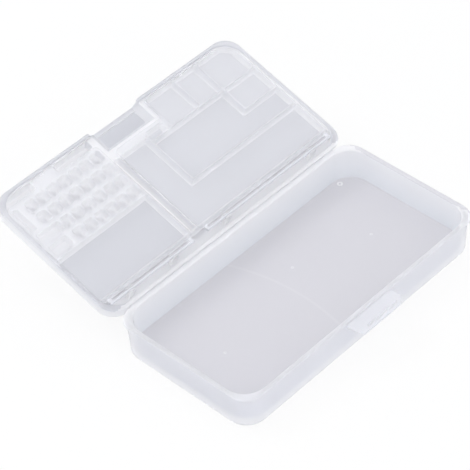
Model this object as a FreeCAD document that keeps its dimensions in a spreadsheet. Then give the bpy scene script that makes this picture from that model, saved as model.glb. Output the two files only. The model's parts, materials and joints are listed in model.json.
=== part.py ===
import FreeCAD, Part
import math
import os

import Sketcher
from FreeCAD import Placement, Rotation, Vector

# A shallow two-part supply box in one plastic, shown open. X runs along the hinge, the hinge is on the +Y side
# and Z is up. The origin is the middle of the base's underside. The lid and its two inner covers are drawn in
# the lid's own frame, rim upwards with the hinge edge at Y = 0, and are then laid open on the hinge.

# Driving sizes in millimetres and degrees
SIZES = {
    # Outside of the box at its rims
    "box_long": 210.0,
    "box_deep": 107.5,
    "base_tall": 25.4,
    "lid_tall": 9.5,
    "rim_corner": 12.0,
    "rim_band": 2.0,
    "rim_edge": 0.5,
    # Base tray
    "base_step": 0.8,
    "base_draft": 2.0,
    "base_rim": 3.2,
    "base_floor": 3.4,
    "foot_round": 1.4,
    "floor_round": 0.6,
    # Hinge web and the lid's open angle above flat
    "hinge_gap": 0.9,
    "shut_gap": 0.3,
    "lid_lift": 17.5,
    "web_thick": 0.5,
    "web_inset": 14.0,
    # Lid tray
    "lid_step": 0.6,
    "lid_draft": 2.0,
    "lid_rim": 2.6,
    "lid_plate": 1.0,
    "lid_edge": 0.7,
    "deck_drop": 2.0,
    "deck_ledge": 0.9,
    "divider": 1.3,
    "well_round": 1.5,
    "channel_front": 13.8,
    # Seam between the two covers, left of the middle
    "seam_left": 20.8,
    "seam_wide": 4.8,
    # Cup block, whose depth is measured from the lid's front edge
    "block_deep": 55.5,
    "cup_wide": 7.5,
    "cup_deep": 8.0,
    "cup_round": 2.0,
    "cup_pitch": 9.3,
    "cup_row": 11.0,
    "cup_margin": 1.1,
    "cup_wall": 2.2,
    "cell_margin": 2.5,
    "cell_step": 3.0,
    "slot_wide": 4.4,
    "block_wall": 3.4,
    # Middles of the right compartments' walls, across from the box's middle and back from the lid's front edge
    "bay_left": 6.5,
    "bay_right": 72.3,
    "small_split": 51.5,
    "rear_row": 66.0,
    "side_row": 49.0,
    "front_row": 29.0,
    # Notch and pocket for the latch in the lid's front
    "latch_half": 23.0,
    "latch_slope": 6.0,
    "latch_deep": 19.0,
    "back_slope": 4.0,
    "back_ledge": 5.5,
    "latch_wall": 3.0,
    "latch_drop": 6.0,
    "kerb_deep": 4.0,
    "kerb_tall": 0.5,
    # Inner covers, their rods and the clips that hold the rods
    "cover_thick": 0.7,
    "cover_gap": 0.3,
    "cover_side": 0.7,
    "cover_rear": 11.6,
    "cover_corner": 3.0,
    "rod_round": 2.0,
    "rod_back": 8.6,
    "rod_fit": 0.05,
    "arm_wide": 2.6,
    "clip_long": 5.0,
    "clip_wall": 0.9,
    "clip_mouth": 1.7,
    "clip_inset": 20.0,
    "tab_long": 19.0,
    "tab_left": 65.5,
    "tab_right": 58.0,
    "tab_notch": 3.0,
    # Latch strap and flap
    "strap_gap": 0.3,
    "strap_long": 1.0,
    "strap_thick": 0.4,
    "strap_half": 18.5,
    "flap_rise": 0.8,
    "flap_thick": 1.6,
    "flap_half": 20.0,
    "flap_taper": 0.5,
    "flap_corner": 5.4,
    "flap_lip": 2.4,
    "flap_lift": 10.0,
    "hook_clear": 0.15,
    "hook_thick": 1.0,
    "hook_tall": 1.4,
    "hook_inset": 1.0,
    "hook_edge": 0.3,
}

# Counts in the cup block
CUP_COLUMNS = 6
CUP_ROWS = 4

# The strap folds half of a right angle on each crease
HALF_FOLD = round(math.cos(math.radians(45)), 6)

doc = FreeCAD.newDocument("SupplyBox")
sheet = doc.addObject("Spreadsheet::Sheet", "Sizes")
for row, (word, value) in enumerate(SIZES.items(), start=1):
    sheet.set(f"A{row}", word)
    sheet.set(f"B{row}", str(value))
    sheet.setAlias(f"B{row}", word)
doc.recompute()


def total(words):
    """A length in words, such as 'box_long/2 - 2*lid_rim', as its value now and as an expression on the sheet."""
    value = 0.0
    formula = ""
    sign = "+"
    for word in words.split():
        if word in "+-":
            sign = word
            continue
        factor, star, name = word.rpartition("*")
        name, slash, divisor = name.partition("/")
        amount = sheet.get(name) * float(factor or 1) / float(divisor or 1)
        value += -amount if sign == "-" else amount
        formula += f"{sign}{factor}{star}Sizes.{name}{slash}{divisor}"
        sign = "+"
    return value, formula.lstrip("+") or "0"


def minus(words):
    """The same length in words with every sign turned."""
    turned = {"+": "-", "-": "+"}
    parts = words.split()
    if parts[0] not in turned:
        parts.insert(0, "+")
    return " ".join(turned.get(part, part) for part in parts)


def bind(thing, field, words):
    """Ties one field of an object to a length in words."""
    thing.setExpression(field, total(words)[1])


def new_body(name):
    body = doc.addObject("PartDesign::Body", name)
    body.Label = name
    return body


def origin_part(body, role):
    for part in body.Origin.OriginFeatures:
        if part.Role == role:
            return part


def new_sketch(body, name, role="XY_Plane", height=""):
    """A sketch on one of the body's own planes, lifted off it by a length in words."""
    sketch = body.newObject("Sketcher::SketchObject", name)
    sketch.AttachmentSupport = (origin_part(body, role), [""])
    sketch.MapMode = "FlatFace"
    if height:
        bind(sketch, "AttachmentOffset.Base.z", height)
    return sketch


def hold(sketch, rules):
    """Adds constraints together, each paired with the length in words that drives it, or with nothing."""
    first = sketch.ConstraintCount
    sketch.addConstraint([rule for rule, words in rules])
    for index, (rule, words) in enumerate(rules, start=first):
        if words is not None:
            sketch.setExpression(f"Constraints[{index}]", total(words)[1])


def held_at(kind, geometry, end, words):
    """One point of a line or circle held at a length in words from the sketch's origin, along X or Y."""
    return Sketcher.Constraint(kind, -1, 1, geometry, end, total(words)[0]), words


def add_loop(sketch, corners, rounds=None):
    """A closed anticlockwise outline whose sides run along X and Y.

    Each corner is a pair of lengths in words. rounds is one radius in words for every corner, or one for each."""
    count = len(corners)
    radii = rounds if isinstance(rounds, list) else [rounds] * count
    points = [Vector(total(x)[0], total(y)[0], 0) for x, y in corners]
    ahead = [(points[(i + 1) % count] - points[i]).normalize() for i in range(count)]
    size = [total(radius)[0] if radius else 0.0 for radius in radii]
    lines = []
    for i in range(count):
        after = (i + 1) % count
        start = points[i] + ahead[i] * size[i]
        end = points[after] - ahead[i] * size[after]
        lines.append(sketch.addGeometry(Part.LineSegment(start, end)))
    rules = []
    for i, (x, y) in enumerate(corners):
        before = (i - 1) % count
        if radii[i]:
            turn = (points[i], ahead[before], ahead[i])
            rules += round_corner(sketch, lines[before], lines[i], turn, radii[i])
        else:
            rules.append((Sketcher.Constraint("Coincident", lines[before], 2, lines[i], 1), None))
        level = abs(ahead[i].y) < 0.5
        rules.append((Sketcher.Constraint("Horizontal" if level else "Vertical", lines[i]), None))
        rules.append(held_at("DistanceY", lines[i], 1, y) if level else held_at("DistanceX", lines[i], 1, x))
    hold(sketch, rules)


def round_corner(sketch, coming, going, turn, radius):
    """An arc from one line to the next, tangent to both, for a left or a right turn."""
    corner, into, out = turn
    value = total(radius)[0]
    centre = corner - into * value + out * value
    first = math.atan2(-out.y, -out.x)
    last = math.atan2(into.y, into.x)
    left_turn = into.x * out.y - into.y * out.x > 0
    if not left_turn:
        first, last = last, first
    circle = Part.Circle(centre, Vector(0, 0, 1), value)
    arc = sketch.addGeometry(Part.ArcOfCircle(circle, first, last))
    ends = (1, 2) if left_turn else (2, 1)
    return [
        (Sketcher.Constraint("Tangent", coming, 2, arc, ends[0]), None),
        (Sketcher.Constraint("Tangent", arc, ends[1], going, 1), None),
        (Sketcher.Constraint("Radius", arc, value), radius),
    ]


def add_circle(sketch, x, y, radius):
    """A circle whose middle and radius are lengths in words."""
    middle = Vector(total(x)[0], total(y)[0], 0)
    circle = sketch.addGeometry(Part.Circle(middle, Vector(0, 0, 1), total(radius)[0]))
    rules = [held_at("DistanceX", circle, 3, x), held_at("DistanceY", circle, 3, y)]
    rules.append((Sketcher.Constraint("Radius", circle, total(radius)[0]), radius))
    hold(sketch, rules)


def box_loop(sketch, left, right, near, far, rounds=None):
    """A rectangle, with its corners in the order near left, near right, far right, far left."""
    add_loop(sketch, [(left, near), (right, near), (right, far), (left, far)], rounds)


def extrude(body, kind, sketch, name, length, downward=False, middle=False):
    """A Pad or a Pocket of a sketch."""
    feature = body.newObject(f"PartDesign::{kind}", name)
    feature.Profile = sketch
    bind(feature, "Length", length)
    feature.Reversed = downward
    feature.Midplane = middle
    doc.recompute()
    return feature


def slope_sides(body, name, feature, foot, top, angle, inward=False):
    """Gives draft to the upright faces that stand between two heights, held at the upper one.

    The solid grows towards the foot, or shrinks towards it where inward is set."""
    sides = []
    neutral = ""
    for number, face in enumerate(feature.Shape.Faces, start=1):
        box = face.BoundBox
        if abs(box.ZMin - foot) < 0.001 and abs(box.ZMax - top) < 0.001:
            sides.append(f"Face{number}")
        elif abs(box.ZMin - top) < 0.001 and abs(box.ZMax - top) < 0.001:
            neutral = f"Face{number}"
    draft = body.newObject("PartDesign::Draft", name)
    draft.Base = (feature, sides)
    draft.NeutralPlane = (feature, [neutral])
    bind(draft, "Angle", angle)
    draft.Reversed = inward
    doc.recompute()
    return draft


def flat_edges(feature, height):
    """The names of a feature's edges that lie at one height."""
    names = []
    for number, edge in enumerate(feature.Shape.Edges, start=1):
        box = edge.BoundBox
        if abs(box.ZMin - height) < 0.001 and abs(box.ZMax - height) < 0.001:
            names.append(f"Edge{number}")
    return names


def round_edges(body, name, feature, edges, radius):
    """Rounds named edges of the last feature."""
    fillet = body.newObject("PartDesign::Fillet", name)
    fillet.Base = (feature, edges)
    bind(fillet, "Radius", radius)
    doc.recompute()
    return fillet


def bevel_edges(body, name, feature, edges, size):
    """Bevels named edges of the last feature."""
    bevel = body.newObject("PartDesign::Chamfer", name)
    bevel.Base = (feature, edges)
    bind(bevel, "Size", size)
    doc.recompute()
    return bevel


# Lines that several pieces share, in the lid's frame
SIDE = "box_long/2 - lid_rim - deck_ledge"
LEFT_SIDE = "- box_long/2 + lid_rim + deck_ledge"
SEAM_LEFT = "- seam_left - seam_wide/2"
SEAM_RIGHT = "- seam_left + seam_wide/2"
LEFT_BLOCK = f"{SEAM_LEFT} - divider"
RIGHT_BLOCK = f"{SEAM_RIGHT} + divider"
WELL_REAR = "channel_front + divider"
WELL_FRONT = "box_deep - lid_rim - deck_ledge"
WELL_DEPTH = "lid_tall - lid_plate - deck_drop"
TRAY_FRONT = "box_deep - block_deep"
CUP_REAR = f"{TRAY_FRONT} + cup_wall"
CUP_RIGHT = f"{LEFT_BLOCK} - cup_margin"
BLOCK_FRONT = f"{CUP_REAR} + {CUP_ROWS - 1}*cup_row + cup_deep + block_wall"
LATCH_BACK = "box_deep - latch_deep"
TAB_LEFT_ENDS = ("- tab_left - tab_long/2", "- tab_left + tab_long/2")
COVER_TOP = "- deck_drop + cover_gap + cover_thick"
COVER_UNDER = "- deck_drop + cover_gap"
ROD_HEIGHT = "- deck_drop + cover_gap + cover_thick/2"


def on_lid():
    """Where the lid's frame sits on the open hinge: its axis is midway between the two rims."""
    half_gap = sheet.get("hinge_gap") / 2
    half_shut = sheet.get("shut_gap") / 2
    axis = Vector(0, sheet.get("box_deep") / 2 + half_gap, sheet.get("base_tall") + half_shut)
    turn = Rotation(Vector(1, 0, 0), sheet.get("lid_lift"))
    return Placement(axis - turn.multVec(Vector(0, -half_gap, half_shut)), turn)


def rim_loop(sketch, inset, near, far):
    """The box's rounded outline, moved in by a length in words."""
    sides = (f"- box_long/2 + {inset}", f"box_long/2 - {inset}")
    box_loop(sketch, sides[0], sides[1], f"{near} + {inset}", f"{far} - {inset}", f"rim_corner - {inset}")


def base_tray():
    body = new_body("base_tray")
    near, far = "- box_deep/2", "box_deep/2"
    wall = new_sketch(body, "BaseWallOutline", height="base_tall - rim_band")
    rim_loop(wall, "base_step", near, far)
    block = extrude(body, "Pad", wall, "BaseWall", "base_tall - rim_band", downward=True)
    top = total("base_tall - rim_band")[0]
    slope_sides(body, "BaseDraft", block, 0.0, top, "base_draft", inward=True)
    band = new_sketch(body, "BaseRimOutline", height="base_tall - rim_band")
    rim_loop(band, "", near, far)
    solid = extrude(body, "Pad", band, "BaseRim", "rim_band")
    round_edges(body, "BaseFoot", solid, flat_edges(solid, 0.0), "foot_round")
    inside = new_sketch(body, "BaseInside", height="base_tall")
    rim_loop(inside, "base_rim", near, far)
    cut = extrude(body, "Pocket", inside, "BaseCavity", "base_tall - base_floor")
    floor_height = total("base_floor")[0]
    cavity = slope_sides(body, "BaseInsideDraft", cut, floor_height, total("base_tall")[0], "base_draft")
    corner = round_edges(body, "BaseFloorCorner", cavity, flat_edges(cavity, floor_height), "floor_round")
    bevel_edges(body, "BaseRimEdge", corner, flat_edges(corner, total("base_tall")[0]), "rim_edge")
    return body


def hinge_web():
    """A round bead on the hinge axis with a tongue to the lid's rear face."""
    bead = doc.addObject("Part::Cylinder", "WebBead")
    bind(bead, "Radius", "web_thick/2")
    bind(bead, "Height", "box_long - 2*web_inset")
    bead.Placement.Rotation = Rotation(Vector(0, 1, 0), 90)
    bind(bead, "Placement.Base.x", "- box_long/2 + web_inset")
    bind(bead, "Placement.Base.y", "- hinge_gap/2")
    bind(bead, "Placement.Base.z", "shut_gap/2")
    tongue = doc.addObject("Part::Box", "WebTongue")
    bind(tongue, "Length", "box_long - 2*web_inset")
    bind(tongue, "Width", "hinge_gap/2")
    bind(tongue, "Height", "web_thick/2 - shut_gap/2 + rim_edge")
    bind(tongue, "Placement.Base.x", "- box_long/2 + web_inset")
    bind(tongue, "Placement.Base.y", "- hinge_gap/2")
    bind(tongue, "Placement.Base.z", "shut_gap/2 - web_thick/2 - rim_edge")
    web = doc.addObject("Part::MultiFuse", "hinge_web")
    web.Shapes = [bead, tongue]
    web.Refine = True
    return web


def lid_shell(body):
    """Drafted wall, thicker rim band, bevelled outer edge and the sunk deck, before any compartment is cut."""
    near, far = "", "box_deep"
    wall = new_sketch(body, "LidWallOutline", height="- rim_band")
    rim_loop(wall, "lid_step", near, far)
    block = extrude(body, "Pad", wall, "LidWall", "lid_tall - rim_band", downward=True)
    foot, top = -total("lid_tall")[0], -total("rim_band")[0]
    slope_sides(body, "LidDraft", block, foot, top, "lid_draft", inward=True)
    band = new_sketch(body, "LidRimOutline", height="- rim_band")
    rim_loop(band, "", near, far)
    solid = extrude(body, "Pad", band, "LidRim", "rim_band")
    bevel_edges(body, "LidCrown", solid, flat_edges(solid, foot), "lid_edge")
    deck = new_sketch(body, "DeckOutline")
    rim_loop(deck, "lid_rim", near, far)
    recess = extrude(body, "Pocket", deck, "Deck", "deck_drop")
    bevel_edges(body, "LidRimEdge", recess, flat_edges(recess, 0.0), "rim_edge")


def right_wells(body):
    """The compartments under the right cover."""
    wells = new_sketch(body, "RightWells", height="- deck_drop")
    bay_left = ("bay_left - divider/2", "bay_left + divider/2")
    bay_right = ("bay_right - divider/2", "bay_right + divider/2")
    rear = ("box_deep - rear_row - divider/2", "box_deep - rear_row + divider/2")
    side = ("box_deep - side_row - divider/2", "box_deep - side_row + divider/2")
    front = ("box_deep - front_row - divider/2", "box_deep - front_row + divider/2")
    split = ("small_split - divider/2", "small_split + divider/2")
    upper = f"{LATCH_BACK} - back_ledge"
    add_loop(
        wells,
        [
            (RIGHT_BLOCK, WELL_REAR),
            (SIDE, WELL_REAR),
            (SIDE, rear[0]),
            (bay_left[0], rear[0]),
            (bay_left[0], upper),
            (RIGHT_BLOCK, upper),
        ],
        "well_round",
    )
    add_loop(
        wells,
        [
            (bay_left[1], rear[1]),
            (SIDE, rear[1]),
            (SIDE, side[0]),
            (bay_right[0], side[0]),
            (bay_right[0], front[0]),
            (bay_left[1], front[0]),
        ],
        "well_round",
    )
    box_loop(wells, bay_right[1], SIDE, side[1], front[0], "well_round")
    box_loop(wells, "latch_half + latch_wall", split[0], front[1], WELL_FRONT, "well_round")
    box_loop(wells, split[1], bay_right[0], front[1], WELL_FRONT, "well_round")
    corner = ["well_round", "well_round", "rim_corner - lid_rim - deck_ledge", "well_round"]
    box_loop(wells, bay_right[1], SIDE, front[1], WELL_FRONT, corner)
    box_loop(wells, bay_left[1], "latch_half - divider", front[1], f"{LATCH_BACK} - latch_wall", "well_round")
    extrude(body, "Pocket", wells, "RightWellCut", WELL_DEPTH)


def left_wells(body):
    """The large left compartment, the odd cells of the cup block and the channels at the front, seam and hinge."""
    wells = new_sketch(body, "LeftWells", height="- deck_drop")
    box_loop(wells, LEFT_SIDE, LEFT_BLOCK, WELL_REAR, TRAY_FRONT, "well_round")
    cell_left = f"{LEFT_SIDE} + cell_margin"
    cell_right = f"{CUP_RIGHT} - {CUP_COLUMNS}*cup_pitch"
    rows = [f"{CUP_REAR} + {n}*cup_row" for n in range(CUP_ROWS)]
    box_loop(wells, cell_left, f"{cell_right} - cell_step", rows[0], f"{rows[0]} + cup_deep", "well_round")
    box_loop(wells, cell_left, cell_right, rows[1], f"{rows[1]} + cup_deep", "well_round")
    box_loop(wells, cell_left, f"{cell_left} + slot_wide", rows[2], f"{rows[3]} + cup_deep", "well_round")
    for near in rows[2:]:
        box_loop(wells, f"{cell_right} - cup_wide", cell_right, near, f"{near} + cup_deep", "cup_round")
    extrude(body, "Pocket", wells, "LeftWellCut", WELL_DEPTH)
    channels = new_sketch(body, "Channels", height="- deck_drop")
    corner = "rim_corner - lid_rim - deck_ledge"
    hinge_rounds = [corner, corner, "well_round", "well_round"]
    box_loop(channels, LEFT_SIDE, SIDE, "lid_rim + deck_ledge", "channel_front", hinge_rounds)
    box_loop(channels, SEAM_LEFT, SEAM_RIGHT, WELL_REAR, f"{LATCH_BACK} - back_ledge", "well_round")
    tab = TAB_LEFT_ENDS
    box_loop(channels, f"{LEFT_SIDE} + cell_margin", tab[0], BLOCK_FRONT, WELL_FRONT, "well_round")
    box_loop(channels, tab[1], "- latch_half - latch_wall", BLOCK_FRONT, WELL_FRONT, "well_round")
    extrude(body, "Pocket", channels, "ChannelCut", WELL_DEPTH)


def cup_block(body):
    """One column of cups, repeated along the hinge direction."""
    column = new_sketch(body, "CupColumn", height="- deck_drop")
    for n in range(CUP_ROWS):
        near = f"{CUP_REAR} + {n}*cup_row"
        box_loop(column, f"{CUP_RIGHT} - cup_wide", CUP_RIGHT, near, f"{near} + cup_deep", "cup_round")
    cups = extrude(body, "Pocket", column, "CupCut", WELL_DEPTH)
    pattern = body.newObject("PartDesign::LinearPattern", "CupColumns")
    pattern.Originals = [cups]
    pattern.Direction = (origin_part(body, "X_Axis"), [""])
    pattern.Reversed = True
    pattern.Occurrences = CUP_COLUMNS
    bind(pattern, "Length", f"{CUP_COLUMNS - 1}*cup_pitch")
    body.Tip = pattern
    doc.recompute()


def latch_pocket(body):
    """A notch through the front wall that runs into a pocket with sloping ends and back, and a kerb in front."""
    front = "box_deep + rim_band"
    floor = "- latch_drop + kerb_tall"
    mouth = new_sketch(body, "LatchMouth")
    box_loop(mouth, "- latch_half", "latch_half", LATCH_BACK, front)
    bed = new_sketch(body, "LatchBed", height=floor)
    left, right = "- latch_half + latch_slope", "latch_half - latch_slope"
    box_loop(bed, left, right, f"{LATCH_BACK} + back_slope", front)
    notch = body.newObject("PartDesign::SubtractiveLoft", "LatchNotch")
    notch.Profile = mouth
    notch.Sections = [bed]
    notch.Ruled = True
    doc.recompute()
    well = new_sketch(body, "LatchWell", height=floor)
    sides = (f"{left} + kerb_tall", f"{right} - kerb_tall")
    rear = f"{LATCH_BACK} + back_slope + kerb_tall"
    box_loop(well, sides[0], sides[1], rear, "box_deep - kerb_deep", "well_round")
    extrude(body, "Pocket", well, "LatchWellCut", "kerb_tall")


def rod_clips(body):
    """Open-topped clips that stand in the hinge channel, two for each cover's rod."""
    places = [
        f"{LEFT_SIDE} + clip_inset",
        f"{LEFT_BLOCK} - clip_inset",
        f"{RIGHT_BLOCK} + clip_inset",
        f"{SIDE} - clip_inset",
    ]
    reach = "rod_round/2 + rod_fit + clip_wall"
    clips = new_sketch(body, "ClipBlocks", height="- lid_tall + lid_plate")
    for middle in places:
        near, far = f"rod_back {minus(reach)}", f"rod_back + {reach}"
        box_loop(clips, f"{middle} - clip_long/2", f"{middle} + clip_long/2", near, far)
    height = f"lid_tall - lid_plate {ROD_HEIGHT} + rod_round/4"
    extrude(body, "Pad", clips, "ClipPads", height)
    bore = new_sketch(body, "ClipBore", "YZ_Plane")
    add_circle(bore, "rod_back", ROD_HEIGHT, "rod_round/2 + rod_fit")
    extrude(body, "Pocket", bore, "ClipBoreCut", "box_long - 2*rim_corner", middle=True)
    mouth = new_sketch(body, "ClipMouth", "YZ_Plane")
    sides = ("rod_back - clip_mouth/2", "rod_back + clip_mouth/2")
    box_loop(mouth, sides[0], sides[1], ROD_HEIGHT, f"{ROD_HEIGHT} + rod_round")
    extrude(body, "Pocket", mouth, "ClipMouthCut", "box_long - 2*rim_corner", middle=True)


def lid_tray():
    body = new_body("lid_tray")
    lid_shell(body)
    right_wells(body)
    left_wells(body)
    cup_block(body)
    latch_pocket(body)
    rod_clips(body)
    body.Placement = on_lid()
    return body


def cover(name, outline, rounds, ends, notch):
    """An inner cover: a thin plate, two arms at its rear and the rod that turns in the lid's clips."""
    body = new_body(name)
    plate = new_sketch(body, f"{name}_plate", height=COVER_UNDER)
    add_loop(plate, outline, rounds)
    extrude(body, "Pad", plate, f"{name}_sheet", "cover_thick")
    arms = new_sketch(body, f"{name}_arms", height=COVER_UNDER)
    box_loop(arms, ends[0], f"{ends[0]} + arm_wide", "rod_back", "cover_rear + cover_corner")
    box_loop(arms, f"{ends[1]} - arm_wide", ends[1], "rod_back", "cover_rear + cover_corner")
    extrude(body, "Pad", arms, f"{name}_arm_pads", "cover_thick")
    rod = new_sketch(body, f"{name}_rod", "YZ_Plane", ends[0])
    add_circle(rod, "rod_back", ROD_HEIGHT, "rod_round/2")
    extrude(body, "Pad", rod, f"{name}_rod_pad", f"{ends[1]} {minus(ends[0])}")
    middle, edge = notch
    cut = new_sketch(body, f"{name}_notch", height=COVER_TOP)
    near = f"{edge} - tab_notch/2"
    box_loop(cut, f"{middle} - tab_notch/2", f"{middle} + tab_notch/2", near, f"{edge} + tab_notch")
    extrude(body, "Pocket", cut, f"{name}_notch_cut", "cover_thick")
    body.Placement = on_lid()
    return body


def left_cover():
    side = f"{LEFT_SIDE} - deck_ledge + cover_side"
    seam = f"{SEAM_LEFT} - cover_side"
    front = f"{BLOCK_FRONT} - cover_side"
    tip = "box_deep - lid_rim - cover_side"
    outline = [
        (side, "cover_rear"),
        (seam, "cover_rear"),
        (seam, front),
        (TAB_LEFT_ENDS[1], front),
        (TAB_LEFT_ENDS[1], tip),
        (TAB_LEFT_ENDS[0], tip),
        (TAB_LEFT_ENDS[0], front),
        (side, front),
    ]
    inner = "well_round"
    rounds = ["cover_corner", "cover_corner", "cover_corner", inner, inner, inner, inner, "cover_corner"]
    ends = (f"{side} + cover_corner", f"{seam} - cover_corner")
    return cover("left_cover", outline, rounds, ends, ("- tab_left", tip))


def right_cover():
    side = f"{SIDE} + deck_ledge - cover_side"
    seam = f"{SEAM_RIGHT} + cover_side"
    tip = "box_deep - lid_rim - cover_side"
    step = "latch_half + cover_side"
    ledge = f"{LATCH_BACK} - cover_side"
    outline = [
        (seam, "cover_rear"),
        (side, "cover_rear"),
        (side, tip),
        (step, tip),
        (step, ledge),
        (seam, ledge),
    ]
    far_corner = "rim_corner - lid_rim - cover_side"
    rounds = ["cover_corner", "cover_corner", far_corner, "well_round", "well_round", "cover_corner"]
    ends = (f"{seam} + cover_corner", f"{side} - cover_corner")
    return cover("right_cover", outline, rounds, ends, ("tab_right", tip))


# Lines of the latch, in the box's frame
CREASE_IN = "- box_deep/2 - strap_gap"
CREASE_OUT = f"{CREASE_IN} - strap_long"
CREASE_HEIGHT = "base_tall - flap_rise"
HOOK_REACH = f"shut_gap + lid_tall + hook_clear + flap_rise - {HALF_FOLD}*strap_long"


def latch_strap():
    """A thin strip with a round edge on each crease."""
    pieces = []
    for name, crease in (("StrapInner", CREASE_IN), ("StrapOuter", CREASE_OUT)):
        bead = doc.addObject("Part::Cylinder", name)
        bind(bead, "Radius", "strap_thick/2")
        bind(bead, "Height", "2*strap_half")
        bead.Placement.Rotation = Rotation(Vector(0, 1, 0), 90)
        bind(bead, "Placement.Base.x", "- strap_half")
        bind(bead, "Placement.Base.y", crease)
        bind(bead, "Placement.Base.z", CREASE_HEIGHT)
        pieces.append(bead)
    strip = doc.addObject("Part::Box", "StrapStrip")
    bind(strip, "Length", "2*strap_half")
    bind(strip, "Width", "strap_long")
    bind(strip, "Height", "strap_thick")
    bind(strip, "Placement.Base.x", "- strap_half")
    bind(strip, "Placement.Base.y", CREASE_OUT)
    bind(strip, "Placement.Base.z", f"{CREASE_HEIGHT} - strap_thick/2")
    strap = doc.addObject("Part::MultiFuse", "latch_strap")
    strap.Shapes = pieces + [strip]
    strap.Refine = True
    return strap


def on_strap():
    """Where the open flap sits: turned up a little about its crease on the strap."""
    crease = Vector(0, total(CREASE_OUT)[0], total(CREASE_HEIGHT)[0])
    turn = Rotation(Vector(1, 0, 0), -sheet.get("flap_lift"))
    return Placement(crease - turn.multVec(crease), turn)


def latch_flap():
    """A tapered plate with one cut corner and a hook bead across its outer end, drawn level and then turned up."""
    body = new_body("latch_flap")
    root = f"{CREASE_OUT} - strap_gap"
    hook_far = f"{CREASE_OUT} {minus(HOOK_REACH)} - hook_thick"
    tip = f"{hook_far} - flap_lip"
    plate = new_sketch(body, "FlapPlate", height="base_tall - flap_thick")
    corners = [
        ("flap_half", root),
        ("- flap_half", root),
        ("- flap_half + flap_taper", tip),
        ("flap_half - flap_taper", tip),
    ]
    points = [Vector(total(x)[0], total(y)[0], 0) for x, y in corners]
    lines = []
    for n, point in enumerate(points):
        lines.append(plate.addGeometry(Part.LineSegment(point, points[(n + 1) % 4])))
    rules = []
    for n, (x, y) in enumerate(corners):
        rules.append((Sketcher.Constraint("Coincident", lines[n - 1], 2, lines[n], 1), None))
        rules += [held_at("DistanceX", lines[n], 1, x), held_at("DistanceY", lines[n], 1, y)]
    hold(plate, rules)
    solid = extrude(body, "Pad", plate, "FlapPad", "flap_thick")
    upright = []
    for number, edge in enumerate(solid.Shape.Edges, start=1):
        right_of_tip = edge.BoundBox.XMin > 0 and abs(edge.BoundBox.YMax - total(tip)[0]) < 0.01
        if right_of_tip and edge.BoundBox.ZLength > 0.5 * total("flap_thick")[0]:
            upright.append(f"Edge{number}")
    bevel_edges(body, "FlapCorner", solid, upright, "flap_corner")
    bead = new_sketch(body, "HookOutline", height="base_tall")
    half = "flap_half - flap_taper - flap_corner - hook_inset"
    box_loop(bead, minus(half), half, hook_far, f"{hook_far} + hook_thick")
    hook = extrude(body, "Pad", bead, "Hook", "hook_tall")
    crest = flat_edges(hook, total("base_tall + hook_tall")[0])
    round_edges(body, "HookCrest", hook, crest, "hook_edge")
    body.Placement = on_strap()
    return body


web = hinge_web()
sub_parts = [base_tray(), lid_tray(), left_cover(), right_cover(), web, latch_strap(), latch_flap()]
web.Placement = on_lid()
for sub_part in sub_parts:
    sub_part.Label = sub_part.Name
doc.recompute()

for thing in doc.Objects:
    if "Invalid" in thing.State or "Error" in thing.State:
        raise RuntimeError(f"{thing.Name} did not build")
for sub_part in sub_parts:
    if sub_part.Shape.isNull() or not sub_part.Shape.isValid():
        raise RuntimeError(f"{sub_part.Label} has no sound shape")

os.makedirs("parts", exist_ok=True)
for sub_part in sub_parts:
    sub_part.Shape.exportStep(f"parts/{sub_part.Label}.step")
    print(sub_part.Label, len(sub_part.Shape.Solids), round(sub_part.Shape.Volume / 1000, 2), "cm3")
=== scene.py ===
import json
import math

import bmesh
import bpy
from mathutils import Matrix, Vector


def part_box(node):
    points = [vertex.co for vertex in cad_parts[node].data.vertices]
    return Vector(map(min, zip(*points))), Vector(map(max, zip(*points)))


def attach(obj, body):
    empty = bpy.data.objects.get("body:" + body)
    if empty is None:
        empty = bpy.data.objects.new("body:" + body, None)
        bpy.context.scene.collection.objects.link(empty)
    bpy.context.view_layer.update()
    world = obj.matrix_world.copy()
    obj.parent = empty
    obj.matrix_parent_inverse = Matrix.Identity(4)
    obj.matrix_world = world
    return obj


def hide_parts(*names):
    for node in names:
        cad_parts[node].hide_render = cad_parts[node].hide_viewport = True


# A frosted plastic supply box, shown open: a deep plain base, a shallow divided lid, two clear inner
# covers that turn on rods in the lid, and a latch flap on a thin strap. Shapes are drawn in millimetres.
# The lid and its covers are drawn in the lid's own frame, with the rim upwards and the hinge edge at Y = 0,
# and are then laid open.

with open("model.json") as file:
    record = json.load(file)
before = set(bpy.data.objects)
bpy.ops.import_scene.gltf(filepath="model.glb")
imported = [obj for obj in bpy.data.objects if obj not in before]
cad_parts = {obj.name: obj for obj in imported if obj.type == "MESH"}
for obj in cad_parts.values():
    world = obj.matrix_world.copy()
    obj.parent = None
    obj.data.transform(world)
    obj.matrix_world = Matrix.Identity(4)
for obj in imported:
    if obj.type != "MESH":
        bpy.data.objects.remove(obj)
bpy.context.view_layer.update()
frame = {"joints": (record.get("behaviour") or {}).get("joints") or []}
MM = 0.001


def joint(name):
    """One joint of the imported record."""
    return next(entry for entry in frame["joints"] if entry["name"] == name)


def in_mm(point):
    """A point in metres as a vector in millimetres."""
    return Vector(point) / MM


# Outside of the box and the places that the frame gives, in millimetres
BASE_HIGH = in_mm(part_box("base_tray")[1])
HALF_LONG = BASE_HIGH.x
HALF_DEEP = BASE_HIGH.y
BASE_TALL = BASE_HIGH.z
DEEP = 2 * HALF_DEEP
HINGE = in_mm(joint("lid_hinge")["pos_m"])
LID_LIFT = math.radians(joint("lid_hinge")["range_deg"][1])
STRAP_CREASE = in_mm(joint("strap_crease")["pos_m"])
FLAP_CREASE = in_mm(joint("flap_crease")["pos_m"])

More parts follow.
